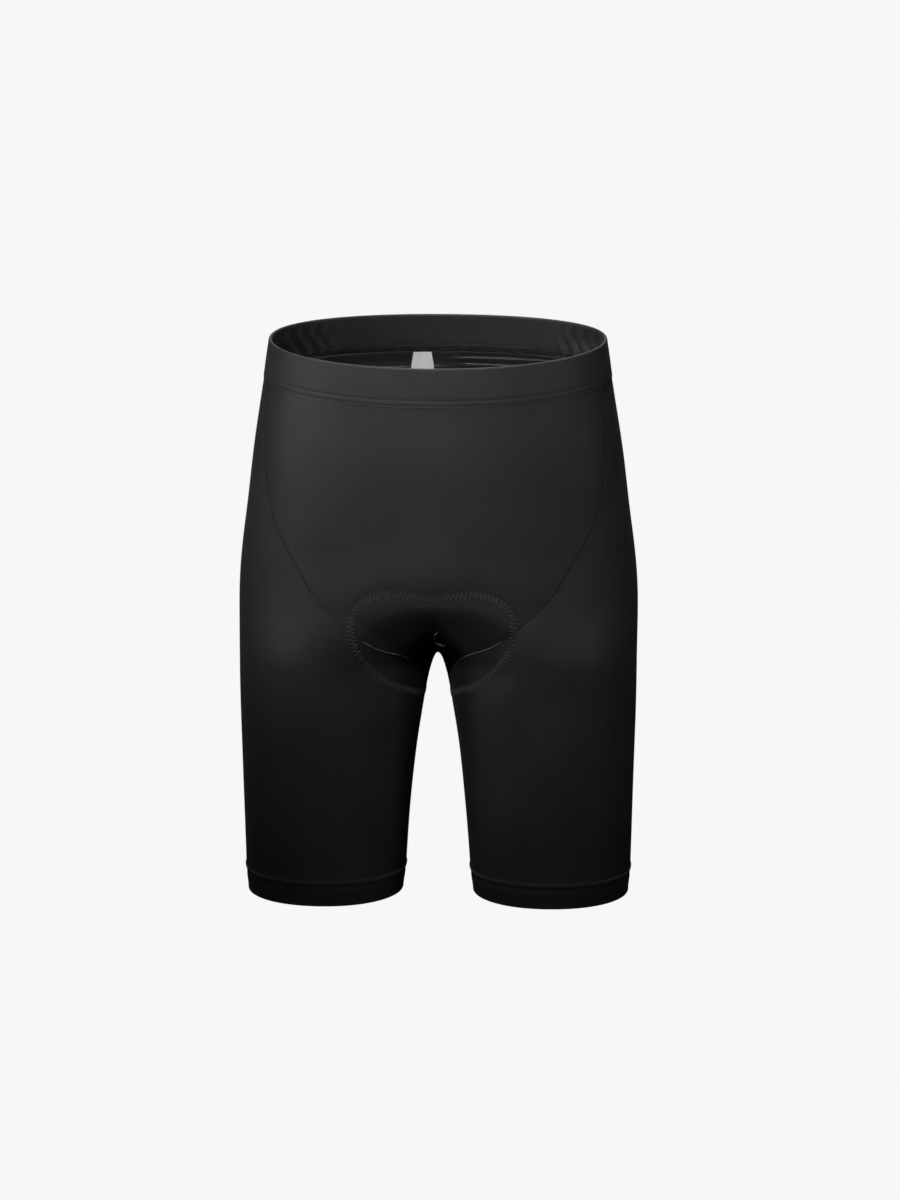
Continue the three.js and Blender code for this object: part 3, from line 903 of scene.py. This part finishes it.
LEG_CROWDING = 1.08  # the rows stand closer together towards the top
LEG_TAPER = 0.45  # of the cloth's width, from the hip to the hem
HEM_CROWDING = 0.55  # how close together the rows come at the hem's stitches
HEM_ROWS_REACH = 30


def leg_top():
    """Angle, height and run of the upper edge, from the inseam round the front to it again."""
    front = seam_half(FRONT, SEAM_GAP / 2)
    back = seam_half(BACK, SEAM_GAP / 2)[::-1]
    angle_front, angle_back = section_angle(front), section_angle(back)
    angle_front = np.where(angle_front > math.pi / 2, angle_front - 2 * math.pi, angle_front)
    angle_back = np.where(angle_back < -math.pi / 2, angle_back + 2 * math.pi, angle_back)
    side_angles = np.linspace(angle_front[-1], angle_back[0], 60)[1:-1]
    side = waist_point(side_angles, BAND_DEPTH + BAND_GAP / 2)
    angles = np.concatenate([angle_front, side_angles, angle_back])
    points = np.concatenate([front, side, back])
    run = run_along(points)
    at = graded(run[-1], run[-1] / LEG_COLUMNS)
    return np.interp(at, run, angles), np.interp(at, run, points[:, 2]), at


def leg_grid():
    angle, top, run = leg_top()
    inset = SEAM_GAP / 2 / section(HEM_LEVEL)[3]
    hem_angle = -math.pi + inset + 2 * (math.pi - inset) * run / run[-1]
    length = top - HEM_LEVEL
    steps = EDGE_STEPS[:-1]
    share = np.linspace(0, 1, LEG_ROWS)[:, None]
    middle = EDGE + (length - 2 * EDGE)[None, :] * share ** LEG_CROWDING
    down = np.concatenate([
        np.repeat(steps[:, None], len(top), 1), middle, length[None, :] - steps[::-1, None],
    ])
    down = with_hem_rows(down, length)
    turned = angle + (hem_angle - angle) * (down / length)
    return section_point(turned, top - down), run, down


def with_hem_rows(down, length):
    """Brings close rows together at the hem's stitching, where a second layer starts."""
    level = down - (length - HEM_DEPTH)
    pull = -HEM_CROWDING * level * np.exp(-np.abs(level) / 5.0) * (np.abs(level) < HEM_ROWS_REACH)
    return down + pull * smoothstep(length - down, 0, 6)


def leg_object(name, node, side):
    base, run, down = leg_grid()
    height = relief(base if side > 0 else mirrored(base))
    normals = normal_at(base)
    above_hem = base[..., 2] - HEM_LEVEL
    doubled = smoothstep(HEM_DEPTH - above_hem, *HEM_STEP)
    thickness = CLOTH + (HEM_CLOTH - CLOTH) * doubled
    rounding = edge_rounding(above_hem, HEM_CLOTH)
    outer = lifted(base, normals, height - rounding)
    inner = lifted(base, normals, height - thickness + rounding)
    uv = np.stack([run[None, :] * (1 - LEG_TAPER * down / down[-1]), down], -1)
    if side < 0:
        outer, inner, uv = mirrored(outer)[:, ::-1], mirrored(inner)[:, ::-1], uv[:, ::-1]
    return shell_object(name, node, outer, inner, uv, CLOTH_FINISH)


# Waistband: cloth folded over an elastic

BAND_RIPPLES = named_columns("x width depth", [
    (-128, 5, -0.7), (-117, 4, -0.5), (-104, 6, -0.8), (-91, 4, -0.4), (-78, 5, -0.6), (-62, 4, -0.4),
    (-47, 6, -0.5), (-30, 4, -0.3), (-9, 5, -0.4), (12, 4, -0.3), (28, 6, -0.5), (45, 4, -0.4),
    (58, 5, -0.5), (74, 4, -0.5), (86, 6, -0.7), (101, 4, -0.6), (113, 5, -0.8), (126, 5, -0.6),
])
BAND_TOP = 1.6  # height of the rounded fold along the top edge
BAND_FOOT = BAND_DEPTH - BAND_GAP / 2
BAND_RADIUS = 127.0  # of the waist, for the knit's own coordinates
OUTSIDE, ON_EDGE, INSIDE = 1.0, 0.5, 0.0
ROW_DIP = {"width": 0.7, "outside": 0.22, "inside": 0.4}
BAND_SWELL = {"outside": 0.15, "inside": 0.2}
BAND_PUCKER = {"height": 1.7, "wave": 1.7, "sway": 2.2, "sway_length": 7.0, "share": 0.85}


def band_profile():
    """Drops and offsets down the outside and up the inside, with which face each point is on."""
    radius = BAND_THICK / 2
    rows = [(drop, BAND_PROUD, OUTSIDE) for drop in np.linspace(BAND_TOP, BAND_DEPTH - 0.5, 44)]
    rows += [(BAND_FOOT, BAND_PROUD - 0.55, ON_EDGE), (BAND_FOOT, -1.4, ON_EDGE)]
    rows += [(drop, BAND_PROUD - BAND_THICK, INSIDE) for drop in np.linspace(BAND_DEPTH - 1.0, BAND_TOP, 30)]
    for turn in np.radians(np.linspace(-80, 80, 7)):
        out = BAND_PROUD - radius + radius * math.sin(turn)
        rows.append((BAND_TOP - radius * math.cos(turn), out, ON_EDGE))
    return np.array(rows)


def end_pucker(drop, x, y):
    """Fine upright puckers inside the band, towards its sides."""
    wave = np.sin(x / BAND_PUCKER["wave"] + BAND_PUCKER["sway"] * np.sin(drop / BAND_PUCKER["sway_length"]))
    ends = smoothstep(np.abs(x), 84, 116) * smoothstep(drop, 2, 16)
    return BAND_PUCKER["height"] * wave * ends * smoothstep(y, -30, 10) * BAND_PUCKER["share"]


def band_relief(drop, side, p):
    x, y, _ = np.moveaxis(p, -1, 0)
    stitched = sum(bell(drop - row, ROW_DIP["width"]) for row in BAND_ROWS)
    swell = np.sin(math.pi * drop / BAND_DEPTH)
    behind = smoothstep(y, -20, 45)
    ripple = sum(depth * bell(x - at, width) for at, width, depth in zip(*BAND_RIPPLES.values()))
    swing = ripple * behind * smoothstep(drop, 4, 24)
    outer = BAND_SWELL["outside"] * swell - ROW_DIP["outside"] * stitched
    inner = -BAND_SWELL["inside"] * swell + ROW_DIP["inside"] * stitched
    inner = inner - swing * 0.8 + end_pucker(drop, x, y)
    total = np.where(side == OUTSIDE, outer, np.where(side == INSIDE, inner, 0))
    return total + 0.3 * ripple * behind * (drop > 24)


def band_object():
    drop, out, side = band_profile().T
    turn = 2 * math.pi * (np.arange(BAND_COLUMNS) + 0.5) / BAND_COLUMNS
    angle, on_left = waist_angles(turn)
    base = waist_point(angle[:, None], drop[None, :])
    normals = normal_at(base)
    left = on_left[:, None, None]
    base, normals = np.where(left, base, mirrored(base)), np.where(left, normals, mirrored(normals))
    sections = lifted(base, normals, out + band_relief(drop[None, :], side[None, :], base))
    uv = np.stack(np.broadcast_arrays((turn * BAND_RADIUS)[:, None], drop), -1).reshape(-1, 2)
    piece = ring_object("folded_band", sections, uv, BAND_FINISH)
    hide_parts("waistband")
    return piece


# Pad: foam between two layers, thin at its sewn edge, with moulded channels

PAD_CORE = 8.0
PAD_SEAT = 2.65  # outer face of the solid's foam, in from the cloth's outer face
PAD_EDGE_SEAT = 1.15
PAD_EDGE = 1.6  # thickness from which the foam rises
PAD_FLANGE = 4.5
PAD_FLANGE_THICK = 1.3
PAD_ROUNDED_END = 35.0
PAD_CHANNELS = named_columns("across width depth", [(0, 3.2, 3.0), (0.5, 2.6, 2.2)])
CHANNEL_ENDS = (26, 62)  # the channels fade in over this run from each end of the pad
PAD_CROWDING = 1.25  # the columns stand closer together towards the pad's sides
PAD_FRONT, PAD_BACK = PAD_CUT["up"].max(), PAD_CUT["up"].min()


def pad_thickness(up, share, margin):
    to_end = np.minimum(PAD_FRONT - up, up - PAD_BACK)
    fullness = np.sqrt(np.clip((1 - np.abs(share) ** 3) * np.clip(to_end / PAD_ROUNDED_END, 0, 1), 0, 1))
    body = PAD_EDGE + (PAD_CORE - PAD_EDGE) * fullness
    reach = smoothstep(up - PAD_BACK, *CHANNEL_ENDS) * smoothstep(PAD_FRONT - up, *CHANNEL_ENDS)
    for across, channel, depth in zip(*PAD_CHANNELS.values()):
        body -= depth * bell((np.abs(share) - across) * pad_cut(up), channel) * reach * fullness
    return PAD_FLANGE_THICK + (body - PAD_FLANGE_THICK) * smoothstep(margin, PAD_FLANGE, PAD_FLANGE + 5)


def pad_object():
    ups = PAD_FRONT - graded(PAD_FRONT - PAD_BACK, PAD_STEP)
    shares = np.linspace(-1, 1, PAD_COLUMNS)
    shares = np.sign(shares) * (1 - (1 - np.abs(shares)) ** PAD_CROWDING)
    up, share = np.meshgrid(ups, shares, indexing="ij")
    across = share * (pad_cut(up) - 0.2)
    base = chart(up, across)
    normals = normal_at(base)
    margin = np.minimum((1 - np.abs(share)) * pad_cut(up), np.minimum(PAD_FRONT - up, up - PAD_BACK))
    seat = PAD_EDGE_SEAT + (PAD_SEAT - PAD_EDGE_SEAT) * smoothstep(margin, PAD_FLANGE, PAD_FLANGE + 7)
    height = relief(base) - seat
    outer = lifted(base, normals, height)
    inner = lifted(base, normals, height - pad_thickness(up, share, margin))
    return shell_object("padded_insert", "pad", outer, inner, np.stack([across, up], -1), PAD_FINISH)


# Label: a short white ribbon sewn in under the band at the back

LABEL = {"x": -19.0, "width": 20.0, "drop": 32.0, "in": 2.7, "thick": 0.35, "below": 0.6}
LABEL_PINCH = 0.18  # the ribbon is drawn in by this share where it is sewn
LABEL_CURL = 1.1
LABEL_WAVE = 0.5


def label_object():
    down, across = np.meshgrid(
        np.linspace(0, 1, LABEL_ROWS), np.linspace(0.5, -0.5, LABEL_COLUMNS), indexing="ij"
    )
    width = LABEL["width"] * (1 - LABEL_PINCH * (1 - smoothstep(down, 0.0, 0.4)))
    x = LABEL["x"] + across * width
    z = rim_level(RIM_REACH) - BAND_DEPTH - LABEL["below"] - down * LABEL["drop"]
    base = settle(np.stack([x, back_at(z), z], -1), 4)
    normals = normal_at(base)
    seat = -LABEL["in"] - LABEL_CURL * down ** 2 - LABEL_WAVE * np.sin(across * 7 + down * 3) * down
    back, face = lifted(base, normals, seat), lifted(base, normals, seat - LABEL["thick"])
    uv = np.stack([across * LABEL["width"], -down * LABEL["drop"]], -1)
    return shell_object("label_ribbon", "label", back, face, uv, RIBBON_FINISH)


# Stitches: one is modelled, and the rest are copies of it along a line


def stitch_form():
    """A short round thread along X, one unit long and thick, with tapered ends that dip."""
    select_none()
    bpy.ops.mesh.primitive_cylinder_add(vertices=6, radius=0.5, depth=0.56, rotation=(0, math.pi / 2, 0))
    thread = bpy.context.object
    bpy.ops.object.transform_apply(location=False, rotation=True, scale=False)
    bpy.ops.object.mode_set(mode="EDIT")
    for end in (1, -1):
        select_faces(thread, lambda face, end=end: face.normal.x * end > 0.9)
        bpy.ops.mesh.extrude_region_move(TRANSFORM_OT_translate={"value": (0.22 * end, 0, -0.22)})
        bpy.ops.transform.resize(value=(1, 0.5, 0.5))
    bpy.ops.object.mode_set(mode="OBJECT")
    points = np.round([corner.co[:] for corner in thread.data.vertices], 6)
    faces = [list(face.vertices) for face in thread.data.polygons]
    bpy.data.objects.remove(thread)
    return in_fixed_order(points, faces)


def in_fixed_order(points, faces):
    """The same form with its points and faces in an order that is alike in every run."""
    order = np.lexsort(points.T)
    place = np.argsort(order).tolist()
    faces = [[place[corner] for corner in face] for face in faces]
    starts = [face.index(min(face)) for face in faces]
    return points[order], sorted(face[start:] + face[:start] for face, start in zip(faces, starts))


def select_faces(thing, wanted):
    bpy.ops.mesh.select_mode(type="FACE")
    bpy.ops.mesh.select_all(action="DESELECT")
    bpy.ops.object.mode_set(mode="OBJECT")
    for face in thing.data.polygons:
        face.select = bool(wanted(face))
    bpy.ops.object.mode_set(mode="EDIT")


STITCH_POINTS, STITCH_FACES = stitch_form()


def stitch_copies(starts, ends, normals, width):
    """Copies of the stitch from each start to its end, standing up along the normals."""
    along = ends - starts
    aside = unit(np.cross(normals, along))
    up = unit(np.cross(along, aside))
    frames = zip((along, aside * width, up * width), STITCH_POINTS.T)
    copies = ((starts + ends) / 2)[:, None] + sum(
        axis[:, None] * reach[None, :, None] for axis, reach in frames
    )
    each = np.arange(len(starts)) * len(STITCH_POINTS)
    faces = [[corner + base for corner in face] for base in each for face in STITCH_FACES]
    return copies.reshape(-1, 3), faces


def row_of_stitches(line, length, gap, width, raised):
    """Straight stitches end to end along a line on the outer face."""
    run = run_along(line)
    count = int(run[-1] / (length + gap))
    first = np.arange(count) * run[-1] / count
    starts, ends = interpolated(first, run, line), interpolated(first + length, run, line)
    return stitch_copies(raised(starts), raised(ends), face_normals((starts + ends) / 2), width)


def beside(line, distance):
    """A line moved sideways over the outer face."""
    aside = unit(np.cross(face_normals(line), np.gradient(line, axis=0)))
    return on_both_sides(settle, line + aside * distance)


def zigzag_stitches(line, pitch, width, thread, raised):
    """Stitches from side to side along a line on the outer face."""
    points = resampled(line, pitch)
    count = np.arange(len(points))
    uneven = 1 + 0.09 * np.sin(count * 1.7) + 0.07 * np.sin(count * 0.61)
    swing = (np.where(count % 2 == 0, 0.5, -0.5) * uneven * width)[:, None]
    turned = raised(beside(points, swing))
    return stitch_copies(turned[:-1], turned[1:], face_normals((points[:-1] + points[1:]) / 2), thread)


def rung_stitches(line, pitch, width, thread, raised):
    """Short stitches across a line on the outer face, each bent over its ridge."""
    points = resampled(line, pitch)
    upper, lower = raised(beside(points, width / 2)), raised(beside(points, -width / 2))
    starts, ends = np.concatenate([upper, raised(points)]), np.concatenate([raised(points), lower])
    return stitch_copies(starts, ends, face_normals(np.concatenate([points, points])), thread)


def on_both_sides(work, p):
    """Points or normals worked out on the wearer's left, for points on either side."""
    worked = work(halved(p))
    return np.where(p[..., :1] < 0, mirrored(worked), worked)


def face_normals(p):
    return on_both_sides(normal_at, p)


def outside(lift):
    return lambda p: lifted(p, face_normals(p), relief(p) + lift)


def inside(depth):
    return lambda p: lifted(p, face_normals(p), relief(p) - CLOTH - depth)


def on_band(out):
    return lambda p: p + face_normals(p) * out


def band_stitching():
    """Two rows on the outside, and the looper threads that join them on the inside."""
    face, lining = on_band(BAND_PROUD - 0.2), on_band(BAND_PROUD - BAND_THICK - 0.35)
    # the rows' very dark thread is partly painted shade of the needle holes
    rows = [row_of_stitches(waist_line(row), *BAND_STITCH.values(), THREAD, face) for row in BAND_ROWS]
    middle = waist_line(sum(BAND_ROWS) / 2)
    looper = zigzag_stitches(middle, BAND_LOOPER, BAND_ROWS[1] - BAND_ROWS[0], FINE_THREAD, lining)
    return joined_object("band_stitching", [*rows, looper], DARK_THREAD_AND_SHADE)


def both_sides(*lines):
    return [line for one in lines for line in (one, mirrored(one)[::-1])]


def pad_zigzags(inset, width, thread, raised):
    lines = both_sides(pad_line(inset))
    return [zigzag_stitches(line, ZIGZAG["pitch"], width, thread, raised) for line in lines]


def zigzag_outside():
    parts = pad_zigzags(ZIGZAG["inset"], ZIGZAG["width"], THREAD, outside(0.2))
    return joined_object("zigzag_stitching", parts, GREY_THREAD)


def zigzag_inside():
    """The same seam on the pad's thin edge, seen from inside."""
    depth = PAD_FLANGE_THICK + PAD_EDGE_SEAT - CLOTH + 0.1
    inset, width = -ZIGZAG["width"] / 2 - 0.6, ZIGZAG["width"] - 1.6
    return joined_object("zigzag_inside", pad_zigzags(inset, width, FINE_THREAD, inside(depth)), GREY_THREAD)


def hem_stitching(name, side):
    """Short rungs over the hem's ridge outside, and a looper chain over its raw edge inside."""
    line = hem_line()
    if side < 0:
        line = mirrored(line)[::-1]
    rungs = rung_stitches(line, *HEM_STITCH.values(), outside(0.1))
    looper = zigzag_stitches(line, *HEM_LOOPER.values(), FINE_THREAD, inside(HEM_CLOTH - CLOTH + 0.15))
    return joined_object(name, [rungs, looper], HEM_THREAD)


def seam_stitching():
    """A fine row beside each curved seam, and a dark thread under the grey zigzag that paints the shadow
    between its strands.
    """
    rows = []
    for line in both_sides(SEAMS["front_seam"], SEAMS["back_seam"]):
        moved = beside(line, SEAM_ROW["beside"])
        rows.append(row_of_stitches(moved, SEAM_ROW["length"], SEAM_ROW["gap"], FINE_THREAD, outside(-0.05)))
    # a dark zigzag a little lower than the grey one, painted shadow between the grey strands
    rows += pad_zigzags(ZIGZAG["inset"] - ZIGZAG_PAINTED_SHADOW, ZIGZAG["width"], THREAD, outside(0.02))
    return joined_object("seam_stitching", rows, DARK_THREAD_AND_SHADE)


# a light thread along the pad's seam, partly painted highlight of the seam's folded edge
def pad_seam_thread_and_highlight():
    lines = both_sides(SEAMS["front_seam"][PAD_SEAM])
    parts = [row_of_stitches(line, *PAD_SEAM_STITCH.values(), outside(0.1)) for line in lines]
    return joined_object("seam_thread_and_highlight", parts, SEAM_THREAD_AND_HIGHLIGHT)


def allowance_lines():
    """Both sides' seams, and the one across the crotch."""
    half = float(panel_cut[FRONT](0.0))
    across = np.arange(-half, half + LINE_STEP / 2, LINE_STEP)
    return both_sides(*SEAMS.values()) + [chart(np.zeros(across.shape), across)]


def strip(line):
    """A narrow closed strip along a line, just inside the cloth."""
    shares = np.array([-0.5, -0.42, -0.2, 0.0, 0.2, 0.42, 0.5])
    slim = np.array([0.35, 0.85, 1, 1, 1, 0.85, 0.35])
    rows = np.stack([beside(line, share * ALLOWANCE["width"]) for share in shares], 1)
    height = relief(rows) - CLOTH - ALLOWANCE["clear"]
    normals = face_normals(rows)
    outer, inner = (lifted(rows, normals, level) for level in (height, height - ALLOWANCE["thick"] * slim))
    return closed_sheet(outer, inner)


def seam_allowances():
    """Trimmed edges of the panels, folded together inside each seam."""
    strips = [strip(line) for line in allowance_lines()]
    return joined_object("seam_allowances", strips, CLOTH_FINISH, angle=CLOTH_ANGLE)


def overlock_stitching():
    """Threads over the seam allowances."""
    raised = inside(ALLOWANCE["clear"] + ALLOWANCE["thick"] + 0.1)
    width = ALLOWANCE["width"] - 0.8
    parts = [zigzag_stitches(line, OVERLOCK_PITCH, width, FINE_THREAD, raised) for line in allowance_lines()]
    return joined_object("overlock_stitching", parts, DARK_THREAD_AND_SHADE)


# A bar tack where the crotch seams meet, with the two ends of its thread

TACK = {"up": 77.0, "bars": 8, "pitch": 1.7, "width": 6.4, "aside": 3.0, "thread": 0.9, "tail": 0.75}
TACK_TAILS = [
    [(75, 3.5), (80, 1.8), (86, 0.6), (92, 0.2), (97, 1.2), (101, 3.4)],
    [(72, 5.0), (76, 7.6), (80, 8.8)],
]


def crotch_tack():
    bars = np.arange(TACK["bars"])
    up = TACK["up"] - bars * TACK["pitch"]
    aside = TACK["aside"] + 0.8 * np.sin(bars * 2.3)
    left, right = (outside(0.5)(chart(up, aside + side * TACK["width"] / 2)) for side in (1, -1))
    parts = [stitch_copies(right, left, face_normals(chart(up, aside)), TACK["thread"])]
    for tail in TACK_TAILS:
        loose = resampled(chart(*np.array(tail, float).T), 1.6)
        free = outside(0.6)(loose)
        parts.append(stitch_copies(free[:-1], free[1:], face_normals(loose[:-1]), TACK["tail"]))
    return joined_object("crotch_tack", parts, PALE_THREAD)


# Stage, light and view


def stage_objects():
    bpy.ops.mesh.primitive_plane_add(size=FLOOR_SIZE, location=(0, 0, FLOOR_LEVEL))
    floor = bpy.context.object
    floor.name = "floor"
    floor.data.materials.append(plain_light_finish())
    floor.visible_diffuse = False
    floor.visible_glossy = False
    world = bpy.data.worlds.new("pale_surround")
    bpy.context.scene.world = world
    world.use_nodes = True
    world.node_tree.nodes["Background"].inputs["Color"].default_value = (*BACKDROP, 1)
    world.cycles_visibility.diffuse = False
    world.cycles_visibility.glossy = False


# Where each lamp stands and what it aims at, its width, its power and the spread of its beam
LIGHTS = {
    "upper_left": ((-0.8, -1.5, 1.5), (-0.02, -0.08, -0.01), 0.6, 0.22, 23),
    "front": ((0.05, -1.9, 1.28), (0.03, -0.08, 0.0), 0.6, 0.27, 18),
    "centre": ((-0.25, -1.9, 1.3), (0.01, -0.08, -0.12), 0.3, 0.074, 8),
    "hip": ((-2.0, -0.7, 0.5), (-0.15, -0.05, -0.06), 0.4, 0.19, 12),
    "thigh": ((-0.7, -1.7, 0.9), (0.12, -0.08, -0.27), 0.3, 0.02, 9),
    "overhead": ((-0.45, -0.85, 1.7), (0, -0.1, 0), 0.6, 1.0, 60),
    "opening": ((-0.5, -1.0, 1.5), (0.02, 0.1, -0.01), 0.2, 0.04, 8),
    "right_side": ((1.8, -0.7, 0.8), (0.15, 0, -0.02), 0.8, 0.33, 18),
    "behind": ((0.0, 1.5, 1.8), (0, 0.1, -0.16), 0.8, 1.7, 36),
}


def aimed_object(name, data, place, aim):
    holder = placed_object(name, data)
    holder.location = place
    holder.rotation_euler = (Vector(aim) - Vector(place)).to_track_quat("-Z", "Y").to_euler()
    return holder


def studio_lights():
    for name, (place, aim, width, power, spread) in LIGHTS.items():
        lamp = bpy.data.lights.new(name + "_light", "AREA")
        lamp.size = width
        lamp.energy = power
        lamp.spread = math.radians(spread)
        aimed_object(name + "_light", lamp, place, aim).visible_camera = False


def photo_camera():
    azimuth, elevation = math.radians(CAMERA["azimuth"]), math.radians(CAMERA["elevation"])
    away = Vector((
        math.sin(azimuth) * math.cos(elevation),
        -math.cos(azimuth) * math.cos(elevation),
        math.sin(elevation),
    ))
    rightwards = Vector((math.cos(azimuth), math.sin(azimuth), 0))
    lens = bpy.data.cameras.new("photo_camera")
    lens.lens = CAMERA["lens"]
    lens.sensor_width = CAMERA["sensor"]
    place = Vector(LOOK_AT) + away * CAMERA["distance"]
    aim = Vector(LOOK_AT) + rightwards * ASIDE
    bpy.context.scene.camera = aimed_object("photo_camera", lens, place, aim)


# Putting it together


def attached(piece):
    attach(piece, "root")
    return piece


def sewn(*makers):
    return [attached(maker()) for maker in makers]


def declare_cloth(legs):
    inner_seams = sewn(seam_allowances, overlock_stitching)
    outer_seams = sewn(zigzag_outside, zigzag_inside, seam_stitching, pad_seam_thread_and_highlight, crotch_tack)
    band_rows = attached(band_stitching())
    for leg, (name, side) in zip(legs, SIDES.items()):
        hem = attached(hem_stitching("hem_stitching_" + name, side))


def main():
    select_none()
    bpy.context.scene.view_settings.view_transform = "Standard"
    photo_camera()
    stage_objects()
    studio_lights()
    front = attached(panel_object("front_cloth", "front_panel", FRONT))
    back = attached(panel_object("back_cloth", "back_panel", BACK))
    legs = [
        attached(leg_object("leg_cloth_" + name, "leg_panel_" + name, side))
        for name, side in SIDES.items()
    ]
    band = attached(band_object())
    pad = attached(pad_object())
    label = attached(label_object())
    declare_cloth(legs)


main()
